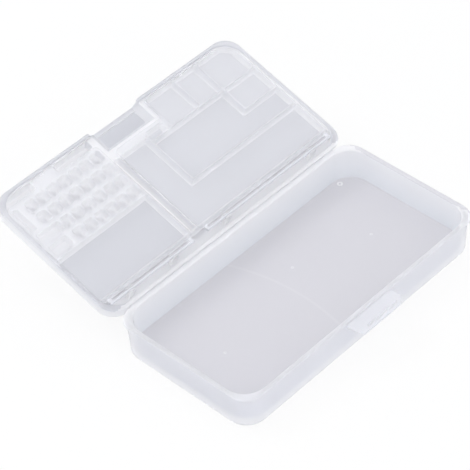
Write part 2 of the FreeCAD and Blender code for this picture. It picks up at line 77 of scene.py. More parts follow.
# Rims and walls
RIM_CORNER = 12.0
RIM_BAND = 2.0
RIM_ROUND = 0.7
BAND_ROUND = 0.25
BASE_STEP = 0.8
BASE_DRAFT = math.tan(math.radians(2.0))
BASE_RIM = 3.2
BASE_FLOOR = 3.4
FOOT_ROUND = 1.4
FLOOR_ROUND = 0.6
HALF_HINGE_GAP = HINGE.y - HALF_DEEP
HALF_SHUT_GAP = HINGE.z - BASE_TALL

# Lid tray, in the lid's frame
LID_TALL = 9.5
LID_STEP = 0.6
LID_DRAFT = math.tan(math.radians(2.0))
LID_RIM = 2.6
LID_PLATE = 1.0
LID_ROUND = 0.7
DECK = -2.0
DECK_FOOT = 0.5
DECK_LEDGE = 0.9
WELL_FLOOR = LID_PLATE - LID_TALL
DIVIDER = 1.3
WELL_CORNER = 1.5
WELL_LIP = 0.4
WELL_FOOT = 0.8
SIDE = HALF_LONG - LID_RIM - DECK_LEDGE
WELL_FRONT = DEEP - LID_RIM - DECK_LEDGE
CHANNEL_FRONT = 13.8
WELL_REAR = CHANNEL_FRONT + DIVIDER
SEAM_MIDDLE = -20.8
SEAM_HALF = 2.4
SEAM_LEFT = SEAM_MIDDLE - SEAM_HALF
SEAM_RIGHT = SEAM_MIDDLE + SEAM_HALF
LEFT_BLOCK = SEAM_LEFT - DIVIDER
RIGHT_BLOCK = SEAM_RIGHT + DIVIDER
FAR_CORNER = RIM_CORNER - LID_RIM - DECK_LEDGE

# Cup block
TRAY_FRONT = DEEP - 55.5
CUP_WIDE = 7.5
CUP_DEEP = 8.0
CUP_CORNER = 2.0
CUP_FOOT = 1.6
CUP_LIP = 0.55
CUP_PITCH = 9.3
CUP_ROW = 11.0
CUP_COLUMNS = 6
CUP_ROWS = 4
CUP_RIGHT = LEFT_BLOCK - 1.1
CUP_REAR = TRAY_FRONT + 2.2
CELL_LEFT = -SIDE + 2.5
CELL_RIGHT = CUP_RIGHT - CUP_COLUMNS * CUP_PITCH
CELL_STEP = 3.0
SLOT_WIDE = 4.4
BLOCK_FRONT = CUP_REAR + (CUP_ROWS - 1) * CUP_ROW + CUP_DEEP + 3.4

# Walls between the right compartments
BAY_LEFT = 6.5
BAY_RIGHT = 72.3
SMALL_SPLIT = 51.5
REAR_ROW = DEEP - 66.0
SIDE_ROW = DEEP - 49.0
FRONT_ROW = DEEP - 29.0

# Pocket for the latch in the lid's front
LATCH_HALF = 23.0
LATCH_SLOPE = 6.0
LATCH_BACK = DEEP - 19.0
BACK_SLOPE = 4.0
BACK_LEDGE = 5.5
LATCH_WALL = 3.0
LATCH_FLOOR = -6.0
SEAM_FRONT = LATCH_BACK - BACK_LEDGE
KERB_DEEP = 4.0
KERB_TALL = 0.5

# Inner covers, rods and clips
COVER_THICK = 0.7
COVER_UNDER = DECK + 0.3
COVER_TOP = COVER_UNDER + COVER_THICK
COVER_SIDE = 0.7
COVER_REAR = 11.6
COVER_CORNER = 3.0
COVER_ROUND = 0.22
ROD = 1.0
ROD_BACK = 8.6
ROD_HEIGHT = COVER_UNDER + COVER_THICK / 2
ROD_FIT = 0.05
ARM_WIDE = 2.6
CLIP_LONG = 5.0
CLIP_WALL = 0.9
CLIP_MOUTH = 1.7
CLIP_INSET = 20.0
TAB_LONG = 19.0
TAB_LEFT = -65.5
TAB_RIGHT = 58.0
TAB_START = TAB_LEFT - TAB_LONG / 2
TAB_END = TAB_LEFT + TAB_LONG / 2
TAB_NOTCH = 3.0
NOTCH_CORNER = 0.4

# Hinge web
WEB_INSET = 14.0
WEB_THICK = 0.5
WEB_BITE = 0.2
WEB_DROP = 0.9
WEB_WAIST = 0.45
WEB_STEPS = 10

# Latch
STRAP_HALF = 18.5
STRAP_THICK = 0.4
STRAP_ROUND = 0.19
FLAP_LIFT = math.radians(10.0)
FLAP_HALF = 20.0
FLAP_THICK = 1.6
FLAP_TAPER = 0.5
FLAP_CORNER = 5.4
FLAP_ROUND = 0.3
FLAP_ROOT = -0.3
ROOT_CORNER = 0.4
TIP_CORNER = 0.6
HOOK_NEAR = -11.043
HOOK_THICK = 1.0
HOOK_TALL = 1.4
HOOK_INSET = 1.0
HOOK_ROUND = 0.3
HOOK_CORNER = 0.3
FLAP_LIP = 2.4
FLAP_TIP = HOOK_NEAR - FLAP_LIP

# Marks on the base's floor: pin marks, a ring and the point where the plastic was let in
PIN_MARKS = ((-67.9, 0.0), (65.8, 0.0))
RING_MARK = (88.0, 45.5)
RING_REACH = 2.1
GATE_MARK = (11.9, 17.7)
FLOW_CENTRE = (-149.7, -4.0)
FLOW_RADIUS = 147.4

# How finely round stretches are divided
LARGE_STEPS = 14
SMALL_STEPS = 5
EDGE_STEPS = 4
ROD_SIDES = 24
MARK_SIDES = 28
LARGE_RADIUS = 5.0
LEAST_RADIUS = 0.02
SMOOTH_UNDER = math.radians(32)

# How much painted shade darkens each kind of face, from nought to one
FAR_RIM_SHADE = 0.8
PIN_SHADE = 0.4
LID_RIM_SHADE = 0.5
POCKET_FLOOR_SHADE = 0.75
POCKET_WALL_SHADE = 0.4
CHANNEL_SHADE = 0.15
LEFT_WELL_SHADE = 0.62
FRONT_WELL_SHADE = 0.33
REAR_WELL_SHADE = 0.32
MIDDLE_WELL_SHADE = 0.5

# How much painted highlight whitens the tops of the lid's walls, from nought to one
DECK_PAINTED_LIGHT = 0.5
CUP_DECK_PAINTED_LIGHT = 0.2

# Limits on a face's direction, as the share of it that points up, or sideways for FACING_SIDE
LEVEL = 0.9
SLOPING = 0.2
FACING_UP = 0.1
FACING_SIDE = 0.7
UPRIGHT = 0.5

# Margins for telling which part of a piece a face is in
TOUCH = 0.01
NEAR = 0.1
WITHIN = 1.0

LID_TURN = Matrix.Rotation(LID_LIFT, 4, "X")
LID_PLACE = (
    Matrix.Translation(HINGE) @ LID_TURN @ Matrix.Translation((0, HALF_HINGE_GAP, -HALF_SHUT_GAP))
)


# Outlines

def outline(corners, grow=0.0):
    """Points of a closed outline with round corners, moved outwards by grow.

    Each corner is x, y and a radius. The outline runs anticlockwise. A corner with no radius stays sharp."""
    count = len(corners)
    spots = [Vector(corner[:2]) for corner in corners]
    ahead = [(spots[(n + 1) % count] - spots[n]).normalized() for n in range(count)]
    points = []
    for n in range(count):
        radius = corners[n][2]
        into, out = ahead[n - 1], ahead[n]
        bend = into.x * out.y - into.y * out.x
        half = math.atan2(bend, into.dot(out)) / 2
        side = Vector((into.y + out.y, -into.x - out.x)).normalized()
        corner = spots[n] + side * (grow / math.cos(half))
        if radius == 0:
            points.append(corner)
            continue
        size = max(radius + math.copysign(grow, bend), LEAST_RADIUS)
        reach = size * math.tan(abs(half))
        start = corner - into * reach
        inward = Vector((-into.y, into.x)) * math.copysign(1, bend)
        centre = start + inward * size
        steps = LARGE_STEPS if radius > LARGE_RADIUS else SMALL_STEPS
        for k in range(steps + 1):
            angle = 2 * half * k / steps
            turn = Matrix.Rotation(angle, 2)
            points.append(centre + turn @ (start - centre))
    return points


def box_corners(left, right, near, far, radius):
    """The corners of a rectangle. radius is one value, or one for each corner from near left on."""
    radii = radius if isinstance(radius, tuple) else (radius,) * 4
    spots = ((left, near), (right, near), (right, far), (left, far))
    return [(x, y, size) for (x, y), size in zip(spots, radii)]


def with_radius(radius, spots):
    """Corners that all have one radius."""
    return [(x, y, radius) for x, y in spots]


def quarter(steps):
    """Sine and cosine at even steps through a right angle."""
    angles = [math.pi / 2 * k / steps for k in range(steps + 1)]
    return [(math.sin(angle), math.cos(angle)) for angle in angles]


# Meshes

def skin(work, rings):
    """Joins each ring of points to the next with faces."""
    for lower, upper in zip(rings, rings[1:]):
        for n in range(len(lower)):
            after = (n + 1) % len(lower)
            work.faces.new((lower[n], lower[after], upper[after], upper[n]))


def closed_skin(work, rings):
    """Joins rings of points and closes the first and the last ring with a flat face."""
    skin(work, rings)
    work.faces.new(list(reversed(rings[0])))
    work.faces.new(rings[-1])


def loft(work, corners, profile):
    """A closed solid through one outline at several insets and heights, flat at both ends."""
    rings = []
    for grow, height in profile:
        rings.append([work.verts.new((p.x, p.y, height)) for p in outline(corners, grow)])
    closed_skin(work, rings)


def soft_plate(work, corners, low, high, rounding):
    """A plate of one outline with its upper and lower edges rounded."""
    profile = []
    for rise, cover in quarter(EDGE_STEPS):
        profile.append((-rounding * (1 - rise), low + rounding * (1 - cover)))
    for rise, cover in quarter(EDGE_STEPS):
        profile.append((-rounding * (1 - cover), high - rounding * (1 - rise)))
    loft(work, corners, profile)


def turned_rod(work, start, end, radius, rounding):
    """A round rod along X with softened ends."""
    profile = []
    for rise, cover in quarter(EDGE_STEPS):
        profile.append((start.x + rounding * (1 - cover), radius - rounding * (1 - rise)))
    for rise, cover in quarter(EDGE_STEPS):
        profile.append((end.x - rounding * (1 - rise), radius - rounding * (1 - cover)))
    rings = []
    for along, size in profile:
        ring = []
        for k in range(ROD_SIDES):
            angle = 2 * math.pi * k / ROD_SIDES
            spot = (along, start.y + size * math.cos(angle), start.z + size * math.sin(angle))
            ring.append(work.verts.new(spot))
        rings.append(ring)
    closed_skin(work, rings)


def new_object(name, work):
    """Turns a mesh in millimetres into an object at the origin, in metres."""
    mesh = bpy.data.meshes.new(name)
    bmesh.ops.recalc_face_normals(work, faces=work.faces)
    work.to_mesh(mesh)
    work.free()
    mesh.transform(Matrix.Scale(MM, 4))
    thing = bpy.data.objects.new(name, mesh)
    bpy.context.scene.collection.objects.link(thing)
    return thing


def lay(thing, place):
    """Moves an object's mesh by a placing that is in millimetres."""
    thing.data.transform(Matrix.Scale(MM, 4) @ place @ Matrix.Scale(1 / MM, 4))


def settle(thing):
    """Applies an object's modifiers and removes them."""
    graph = bpy.context.evaluated_depsgraph_get()
    mesh = bpy.data.meshes.new_from_object(thing.evaluated_get(graph))
    thing.modifiers.clear()
    thing.data = mesh
    mesh.name = thing.name


def combine(thing, operation, others):
    """Cuts other closed meshes out of an object or welds them on, and removes them."""
    for number, other in enumerate(others):
        step = thing.modifiers.new(f"step_{number}", "BOOLEAN")
        step.operation = operation
        step.solver = "EXACT"
        step.object = other
    settle(thing)
    for other in others:
        bpy.data.objects.remove(other)


def mark(thing, name, share):
    """Stores a value from nought to one on each face, for the finishes to read.

    It is worked out by share from the face's middle, in millimetres, and its direction."""
    layer = thing.data.attributes.new(name, "FLOAT", "FACE")
    for face in thing.data.polygons:
        layer.data[face.index].value = float(share(face.center / MM, face.normal))


def smooth(thing):
    """Smooth shading that stays crisp at sharp edges and flat on flat faces."""
    thing.data.shade_smooth()
    thing.data.set_sharp_from_angle(angle=SMOOTH_UNDER)
    weigh = thing.modifiers.new("even_shading", "WEIGHTED_NORMAL")
    weigh.keep_sharp = True
    weigh.weight = 80


# Base tray

def rim_corners(near, far):
    """The corners of a tray's rim between two places along Y."""
    return box_corners(-HALF_LONG, HALF_LONG, near, far, RIM_CORNER)


def rim_top(inset, top):
    """The rounded crest of a rim, from its outer face over to an inner wall."""
    profile = []
    for rise, cover in quarter(EDGE_STEPS):
        profile.append((-RIM_ROUND * (1 - cover), top - RIM_ROUND * (1 - rise)))
    for rise, cover in quarter(EDGE_STEPS):
        profile.append((-inset + RIM_ROUND * (1 - rise), top - RIM_ROUND * (1 - cover)))
    return profile


def outer_wall(step, draft, low, top, foot):
    """The outside of a tray from its underside up to its rim band, with a soft foot and a small step."""
    band = top - RIM_BAND
    bottom = step + draft * (band - low)
    profile = []
    for rise, cover in quarter(EDGE_STEPS + 2):
        height = foot * (1 - cover)
        profile.append((-bottom - foot * (1 - rise) + draft * height, low + height))
    profile.append((-step - BAND_ROUND, band - BAND_ROUND))
    profile.append((-step, band))
    for rise, cover in quarter(2):
        profile.append((-BAND_ROUND * (1 - rise), band + BAND_ROUND * (1 - cover)))
    return profile


def base_tray(finish):
    """The deep plain tray with its thick rim, drafted walls and marked floor."""
    work = bmesh.new()
    profile = outer_wall(BASE_STEP, BASE_DRAFT, 0.0, BASE_TALL, FOOT_ROUND)
    profile += rim_top(BASE_RIM, BASE_TALL)
    inner = BASE_RIM + BASE_DRAFT * (BASE_TALL - BASE_FLOOR)
    for rise, cover in quarter(EDGE_STEPS + 2):
        height = FLOOR_ROUND * (1 - rise)
        profile.append((-inner - FLOOR_ROUND * (1 - cover) + BASE_DRAFT * height, BASE_FLOOR + height))
    loft(work, rim_corners(-HALF_DEEP, HALF_DEEP), profile)
    tray = new_object("base_tray_moulding", work)
    combine(tray, "UNION", floor_marks(finish))
    # Painted shade on the base's floor and on the right side of its rim
    mark(tray, "thin", base_painted_shade)
    # Painted highlight on the base's rim crest and on the ring mark
    mark(tray, "pale", base_painted_light)
    mark(tray, "inner", base_inner)
    smooth(tray)
    return tray


def base_inner(spot, normal):
    """True on the inside of the base's walls."""
    middle = Vector((spot.x * HALF_DEEP / HALF_LONG, spot.y))
    return abs(normal.z) < UPRIGHT and spot.z > BASE_FLOOR and normal.xy.dot(middle) < 0


def on_ring(spot):
    """True on the ring mark of the base's floor."""
    return (spot.xy - Vector(RING_MARK)).length < RING_REACH and spot.z > BASE_FLOOR + TOUCH


def on_base_rim(spot):
    """True on the crest of the base's rim."""
    return spot.z > BASE_TALL - RIM_ROUND


def base_painted_shade(spot, normal):
    """How much painted shade the base gets: on its floor, up to the walls' foot, and on the rim's right
    side.
    """
    if on_base_rim(spot) and spot.x > HALF_LONG - BASE_RIM:
        return FAR_RIM_SHADE
    at_floor = BASE_FLOOR - NEAR < spot.z < BASE_FLOOR + FLOOR_ROUND
    if normal.z < FACING_UP or not at_floor or on_ring(spot):
        return 0.0
    near_wall = abs(spot.x) > RING_MARK[0] or abs(spot.y) > RING_MARK[1]
    return 1.0 if near_wall or spot.z < BASE_FLOOR + TOUCH else PIN_SHADE


def base_painted_light(spot, normal):
    """True on the ring of the base's floor and on the rest of its rim, which get a painted highlight."""
    if on_base_rim(spot):
        return spot.x < HALF_LONG - BASE_RIM
    return on_ring(spot) and normal.z > FACING_UP


# Lid tray

def well_profile(lip, foot, floor=WELL_FLOOR, deck=DECK):
    """A cutter's profile: a round foot, an upright wall and a lip that flares out onto the deck."""
    above = 0.4
    under = 0.01
    profile = []
    for rise, cover in quarter(EDGE_STEPS):
        profile.append((-foot * (1 - rise), floor + foot * (1 - cover)))
    for rise, cover in quarter(EDGE_STEPS):
        profile.append((lip * (1 - cover), deck - under - lip * (1 - rise)))
    profile.append((lip, deck + above))
    return profile


def well_outlines():
    """Every compartment and channel of the lid except the repeated cups."""
    half = DIVIDER / 2
    rear = [
        (RIGHT_BLOCK, WELL_REAR),
        (SIDE, WELL_REAR),
        (SIDE, REAR_ROW - half),
        (BAY_LEFT - half, REAR_ROW - half),
        (BAY_LEFT - half, SEAM_FRONT),
        (RIGHT_BLOCK, SEAM_FRONT),
    ]
    middle = [
        (BAY_LEFT + half, REAR_ROW + half),
        (SIDE, REAR_ROW + half),
        (SIDE, SIDE_ROW - half),
        (BAY_RIGHT - half, SIDE_ROW - half),
        (BAY_RIGHT - half, FRONT_ROW - half),
        (BAY_LEFT + half, FRONT_ROW - half),
    ]
    front = FRONT_ROW + half
    near_latch = LATCH_HALF + LATCH_WALL
    corner = (WELL_CORNER, WELL_CORNER, FAR_CORNER, WELL_CORNER)
    hinge_corner = (FAR_CORNER, FAR_CORNER, WELL_CORNER, WELL_CORNER)
    rows = [CUP_REAR + n * CUP_ROW for n in range(CUP_ROWS)]
    return [
        with_radius(WELL_CORNER, rear),
        with_radius(WELL_CORNER, middle),
        box_corners(BAY_RIGHT + half, SIDE, SIDE_ROW + half, FRONT_ROW - half, WELL_CORNER),
        box_corners(near_latch, SMALL_SPLIT - half, front, WELL_FRONT, WELL_CORNER),
        box_corners(SMALL_SPLIT + half, BAY_RIGHT - half, front, WELL_FRONT, WELL_CORNER),
        box_corners(BAY_RIGHT + half, SIDE, front, WELL_FRONT, corner),
        box_corners(BAY_LEFT + half, LATCH_HALF - DIVIDER, front, LATCH_BACK - LATCH_WALL, WELL_CORNER),
        box_corners(-SIDE, LEFT_BLOCK, WELL_REAR, TRAY_FRONT, WELL_CORNER),
        box_corners(CELL_LEFT, CELL_RIGHT - CELL_STEP, rows[0], rows[0] + CUP_DEEP, WELL_CORNER),
        box_corners(CELL_LEFT, CELL_RIGHT, rows[1], rows[1] + CUP_DEEP, WELL_CORNER),
        box_corners(CELL_LEFT, CELL_LEFT + SLOT_WIDE, rows[2], rows[3] + CUP_DEEP, WELL_CORNER),
        box_corners(-SIDE, SIDE, LID_RIM + DECK_LEDGE, CHANNEL_FRONT, hinge_corner),
        box_corners(SEAM_LEFT, SEAM_RIGHT, WELL_REAR, SEAM_FRONT, WELL_CORNER),
        box_corners(CELL_LEFT, TAB_START, BLOCK_FRONT, WELL_FRONT, WELL_CORNER),
        box_corners(TAB_END, -near_latch, BLOCK_FRONT, WELL_FRONT, WELL_CORNER),
    ]


def well_cutter():
    """All the compartments and channels as one cutter."""
    work = bmesh.new()
    for corners in well_outlines():
        loft(work, corners, well_profile(WELL_LIP, WELL_FOOT))
    return new_object("well_cutter", work)


def cup_cutter(finish):
    """One cup, repeated in columns and rows by a node tree, and the two odd cups of the front rows."""
    work = bmesh.new()
    cup = box_corners(CUP_RIGHT - CUP_WIDE, CUP_RIGHT, CUP_REAR, CUP_REAR + CUP_DEEP, CUP_CORNER)
    loft(work, cup, well_profile(CUP_LIP, CUP_FOOT))
    cutter = new_object("cup_cutter", work)
    sizes = {
        "Column Pitch": -CUP_PITCH * MM,
        "Row Pitch": CUP_ROW * MM,
        "Columns": CUP_COLUMNS,
        "Rows": CUP_ROWS,
    }
    repeat_in_grid(cutter, sizes, finish)
    extra = bmesh.new()
    for n in range(2, CUP_ROWS):
        near = CUP_REAR + n * CUP_ROW
        cup = box_corners(CELL_RIGHT - CUP_WIDE, CELL_RIGHT, near, near + CUP_DEEP, CUP_CORNER)
        loft(extra, cup, well_profile(CUP_LIP, CUP_FOOT))
    return cutter, new_object("odd_cup_cutter", extra)


def node_tree(name, values):
    """An empty node tree for shapes, its input and output nodes, and the identifiers of its named inputs."""
    kinds = {
        float: "NodeSocketFloat",
        int: "NodeSocketInt",
        bpy.types.Material: "NodeSocketMaterial",
        bpy.types.Object: "NodeSocketObject",
    }
    tree = bpy.data.node_groups.new(name, "GeometryNodeTree")
    tree.interface.new_socket("Geometry", in_out="INPUT", socket_type="NodeSocketGeometry")
    named = {}
    for word, value in values.items():
        socket = tree.interface.new_socket(word, in_out="INPUT", socket_type=kinds[type(value)])
        named[word] = socket.identifier
    tree.interface.new_socket("Geometry", in_out="OUTPUT", socket_type="NodeSocketGeometry")
    return tree, tree.nodes.new("NodeGroupInput"), tree.nodes.new("NodeGroupOutput"), named


def run_tree(thing, tree, named, values):
    """Sets a node tree's inputs, runs it on an object and keeps the result as a plain mesh."""
    step = thing.modifiers.new(tree.name, "NODES")
    step.node_group = tree
    for word, value in values.items():
        step[named[word]] = value
    settle(thing)


def finish_tree(tree, given, result, copies):
    """Ends a node tree with its copies made real and their finish set."""
    real = tree.nodes.new("GeometryNodeRealizeInstances")
    tree.links.new(copies, real.inputs["Geometry"])
    paint = tree.nodes.new("GeometryNodeSetMaterial")
    tree.links.new(real.outputs["Geometry"], paint.inputs["Geometry"])
    tree.links.new(given.outputs["Finish"], paint.inputs["Material"])
    tree.links.new(paint.outputs["Geometry"], result.inputs["Geometry"])


def repeat_in_grid(thing, sizes, finish):
    """A node tree that lays copies of an object's mesh out in columns along X and rows along Y."""
    values = sizes | {"Finish": finish}
    tree, given, result, named = node_tree("repeat_in_grid", values)
    nodes, links = tree.nodes, tree.links
    row_step = nodes.new("ShaderNodeCombineXYZ")
    links.new(given.outputs["Row Pitch"], row_step.inputs["Y"])
    column_step = nodes.new("ShaderNodeCombineXYZ")
    links.new(given.outputs["Column Pitch"], column_step.inputs["X"])
    copies = given.outputs["Geometry"]
    for count, step in (("Columns", column_step), ("Rows", row_step)):
        line = nodes.new("GeometryNodeMeshLine")
        links.new(given.outputs[count], line.inputs["Count"])
        links.new(step.outputs["Vector"], line.inputs["Offset"])
        place = nodes.new("GeometryNodeInstanceOnPoints")
        links.new(line.outputs["Mesh"], place.inputs["Points"])
        links.new(copies, place.inputs["Instance"])
        copies = place.outputs["Instances"]
    finish_tree(tree, given, result, copies)
    run_tree(thing, tree, named, values)


def latch_cutter():
    """The latch pocket: a notch with sloping ends and back, and a shallow well behind its kerb."""
    work = bmesh.new()
    front = DEEP + RIM_BAND
    bed = LATCH_FLOOR + KERB_TALL
    over = 0.6
    slope = -bed
    rings = []
    for height in (bed, over):
        share = (height - bed) / slope
        half = LATCH_HALF - LATCH_SLOPE * (1 - share)
        back = LATCH_BACK + BACK_SLOPE * (1 - share)
        spots = ((-half, back), (half, back), (half, front), (-half, front))
        rings.append([work.verts.new((x, y, height)) for x, y in spots])
    closed_skin(work, rings)
    notch = new_object("latch_notch", work)
    shallow = bmesh.new()
    half = LATCH_HALF - LATCH_SLOPE - KERB_TALL
    back = LATCH_BACK + BACK_SLOPE + KERB_TALL
    well = box_corners(-half, half, back, DEEP - KERB_DEEP, WELL_CORNER)
    loft(shallow, well, well_profile(KERB_TALL / 2, KERB_TALL / 3, LATCH_FLOOR, bed))
    return notch, new_object("latch_well", shallow)


def lid_tray(finish):
    """The shallow tray with its cups, compartments, rod channel, clips and latch pocket."""
    work = bmesh.new()
    profile = outer_wall(LID_STEP, LID_DRAFT, -LID_TALL, 0.0, LID_ROUND)
    profile += rim_top(LID_RIM, 0.0)
    for rise, cover in quarter(EDGE_STEPS):
        profile.append((-LID_RIM - DECK_FOOT * (1 - cover), DECK + DECK_FOOT * (1 - rise)))
    loft(work, rim_corners(0.0, DEEP), profile)
    tray = new_object("lid_tray_moulding", work)
    combine(tray, "DIFFERENCE", [well_cutter(), *cup_cutter(finish), *latch_cutter()])
    combine(tray, "UNION", [rod_clips()])
    # Painted shade on the lid's well floors, hinge channel, latch pocket and rim
    mark(tray, "thin", lid_painted_shade)
    # Painted light on the lid's walls, wall tops and narrow hollows
    mark(tray, "pale", lid_painted_light)
    lay(tray, LID_PLACE)
    smooth(tray)
    return tray


def in_narrow_part(spot):
    """True in the cup block, the hinge channel and the seam between the covers."""
    in_block = spot.x < LEFT_BLOCK and spot.y > TRAY_FRONT
    in_seam = LEFT_BLOCK < spot.x < RIGHT_BLOCK and spot.y < SEAM_FRONT
    return in_block or in_seam or spot.y < WELL_REAR


def in_latch_pocket(spot):
    """True on the floor, slopes and walls of the latch pocket."""
    between = abs(spot.x) < LATCH_HALF + LATCH_WALL + WITHIN
    return between and spot.y > LATCH_BACK - LATCH_WALL and spot.z > LATCH_FLOOR - NEAR


def in_lid(spot):
    """True inside the lid's rim and above its underside."""
    between = abs(spot.x) < HALF_LONG - WITHIN and WITHIN < spot.y < DEEP - WITHIN
    return between and spot.z > WELL_FLOOR - NEAR


def lid_painted_shade(spot, normal):
    """How much painted shade the lid gets: most on the latch pocket's floor, less in the wells and on the
    rim.
    """
    if spot.y > LID_RIM and spot.z > -RIM_ROUND and normal.z > SLOPING:
        return LID_RIM_SHADE
    if in_latch_pocket(spot):
        on_floor = spot.z < LATCH_FLOOR + KERB_TALL / 2 and normal.z > LEVEL
        return POCKET_FLOOR_SHADE if on_floor else POCKET_WALL_SHADE
    if normal.z < LEVEL or spot.z > WELL_FLOOR + WELL_FOOT:
        return 0.0
    if spot.y < WELL_REAR:
        return CHANNEL_SHADE
    if in_narrow_part(spot):
        return 0.0
    if spot.x < SEAM_LEFT:
        return LEFT_WELL_SHADE
    if spot.y > FRONT_ROW or spot.x > BAY_RIGHT and spot.y > SIDE_ROW:
        return FRONT_WELL_SHADE
    return REAR_WELL_SHADE if spot.y < REAR_ROW else MIDDLE_WELL_SHADE


def lid_painted_light(spot, normal):
    """How much painted light whitens the lid: most on walls and narrow hollows, which light reaches from
    both sides.
    """
    if spot.y < LID_RIM:
        return 1.0
    if not in_lid(spot) or in_latch_pocket(spot) or spot.z > -RIM_ROUND:
        return 0.0
    if in_narrow_part(spot) and spot.z < DECK - CUP_LIP:
        return 0.0 if spot.y < WELL_REAR and normal.z > LEVEL else 1.0
    if spot.z > DECK - WELL_LIP and normal.z > LEVEL:
        return DECK_PAINTED_LIGHT if spot.x > SEAM_LEFT else CUP_DECK_PAINTED_LIGHT
    return 1.0 if normal.z < LEVEL else 0.0


def rod_clips():
    """Open-topped clips that stand on the floor of the hinge channel, two for each cover's rod."""
    work = bmesh.new()
    places = (-SIDE + CLIP_INSET, LEFT_BLOCK - CLIP_INSET, RIGHT_BLOCK + CLIP_INSET, SIDE - CLIP_INSET)
    bore = ROD + ROD_FIT
    half = bore + CLIP_WALL
    top = ROD_HEIGHT + ROD / 2
    mouth = math.asin(CLIP_MOUTH / 2 / bore)
    sink = 0.1
    foot = WELL_FLOOR - sink
    shape = [(-half, foot), (half, foot), (half, top), (CLIP_MOUTH / 2, top)]
    for k in range(LARGE_STEPS + 1):
        angle = mouth + (2 * math.pi - 2 * mouth) * k / LARGE_STEPS
        shape.append((bore * math.sin(angle), ROD_HEIGHT + bore * math.cos(angle)))
    shape += [(-CLIP_MOUTH / 2, top), (-half, top)]
    for middle in places:
        ends = []
        for along in (middle - CLIP_LONG / 2, middle + CLIP_LONG / 2):
            ends.append([work.verts.new((along, ROD_BACK + y, z)) for y, z in shape])
        closed_skin(work, ends)
    return new_object("rod_clips", work)


# Inner covers

def notched(corners, middle, edge):
    """Adds the thumb notch in a cover's front edge, which runs towards -X at Y = edge."""
    half = TAB_NOTCH / 2
    notch = [
        (middle + half, edge),
        (middle + half, edge - half),
        (middle - half, edge - half),
        (middle - half, edge),
    ]
    first = next(n for n, corner in enumerate(corners) if corner[1] == edge)
    return corners[: first + 1] + with_radius(NOTCH_CORNER, notch) + corners[first + 1:]


def cover(name, corners, ends):
    """A clear sheet with two arms at its rear that carry the rod it turns on."""
    work = bmesh.new()
    soft_plate(work, corners, COVER_UNDER, COVER_TOP, COVER_ROUND)
    thing = new_object(name, work)
    arms = bmesh.new()
    sink = 0.03
    for left in (ends[0], ends[1] - ARM_WIDE):
        arm = box_corners(left, left + ARM_WIDE, ROD_BACK, COVER_REAR + COVER_CORNER, 0)
        soft_plate(arms, arm, COVER_UNDER + sink, COVER_TOP - sink, COVER_ROUND)
    rod = bmesh.new()
    start = Vector((ends[0] - sink, ROD_BACK, ROD_HEIGHT))
    end = Vector((ends[1] + sink, ROD_BACK, ROD_HEIGHT))
    turned_rod(rod, start, end, ROD, COVER_ROUND)
    combine(thing, "UNION", [new_object("arms", arms), new_object("rod", rod)])
    mark(thing, "edge", lambda spot, normal: spot.y < COVER_REAR - COVER_ROUND)
    lay(thing, LID_PLACE)
    smooth(thing)
    return thing


def left_cover():
    """The cover over the cups and the left compartment, with a tab at its front."""
    side = -SIDE - DECK_LEDGE + COVER_SIDE
    seam = SEAM_LEFT - COVER_SIDE
    front = BLOCK_FRONT - COVER_SIDE
    tip = DEEP - LID_RIM - COVER_SIDE
    corners = [
        (side, COVER_REAR, COVER_CORNER),
        (seam, COVER_REAR, COVER_CORNER),
        (seam, front, COVER_CORNER),
        (TAB_END, front, WELL_CORNER),
        (TAB_END, tip, WELL_CORNER),
        (TAB_START, tip, WELL_CORNER),
        (TAB_START, front, WELL_CORNER),
        (side, front, COVER_CORNER),
    ]
    ends = (side + COVER_CORNER, seam - COVER_CORNER)
    return cover("left_cover_sheet", notched(corners, TAB_LEFT, tip), ends)


def right_cover():
    """The cover over the right compartments, cut back at the latch pocket."""
    side = SIDE + DECK_LEDGE - COVER_SIDE
    seam = SEAM_RIGHT + COVER_SIDE
    tip = DEEP - LID_RIM - COVER_SIDE
    step = LATCH_HALF + COVER_SIDE
    ledge = LATCH_BACK - COVER_SIDE
    corners = [
        (seam, COVER_REAR, COVER_CORNER),
        (side, COVER_REAR, COVER_CORNER),
        (side, tip, RIM_CORNER - LID_RIM - COVER_SIDE),
        (step, tip, WELL_CORNER),
        (step, ledge, WELL_CORNER),
        (seam, ledge, COVER_CORNER),
    ]
    ends = (seam + COVER_CORNER, side - COVER_CORNER)
    return cover("right_cover_sheet", notched(corners, TAB_RIGHT, tip), ends)


# Hinge web and latch

def hinge_web():
    """A thin strip from the base's rim to the lid's, thinnest along the fold."""
    work = bmesh.new()
    half_long = HALF_LONG - WEB_INSET
    upper, lower = [], []
    base_edge = Vector((HALF_DEEP - WEB_BITE, BASE_TALL - WEB_DROP))
    lid_spot = LID_PLACE @ Vector((0, WEB_BITE, -WEB_DROP))
    lid_edge = Vector((lid_spot.y, lid_spot.z))
    for k in range(WEB_STEPS + 1):
        share = k / WEB_STEPS
        middle = base_edge.lerp(lid_edge, share)
        waist = 1 - WEB_WAIST * math.sin(math.pi * share)
        upper.append(middle + Vector((0, WEB_THICK / 2 * waist)))
        lower.append(middle - Vector((0, WEB_THICK / 2 * waist)))
    shape = lower + list(reversed(upper))
    ends = [[work.verts.new((x, p.x, p.y)) for p in shape] for x in (-half_long, half_long)]
    closed_skin(work, ends)
    web = new_object("hinge_strip", work)
    smooth(web)
    return web


def latch_strap():
    """The thin strip between the latch's two creases."""
    work = bmesh.new()
    reach = STRAP_THICK / 2
    near = FLAP_CREASE.y - reach
    far = STRAP_CREASE.y + reach
    strap = box_corners(-STRAP_HALF, STRAP_HALF, near, far, 0)
    soft_plate(work, strap, STRAP_CREASE.z - reach, STRAP_CREASE.z + reach, STRAP_ROUND)
    thing = new_object("latch_strap_strip", work)
    smooth(thing)
    return thing


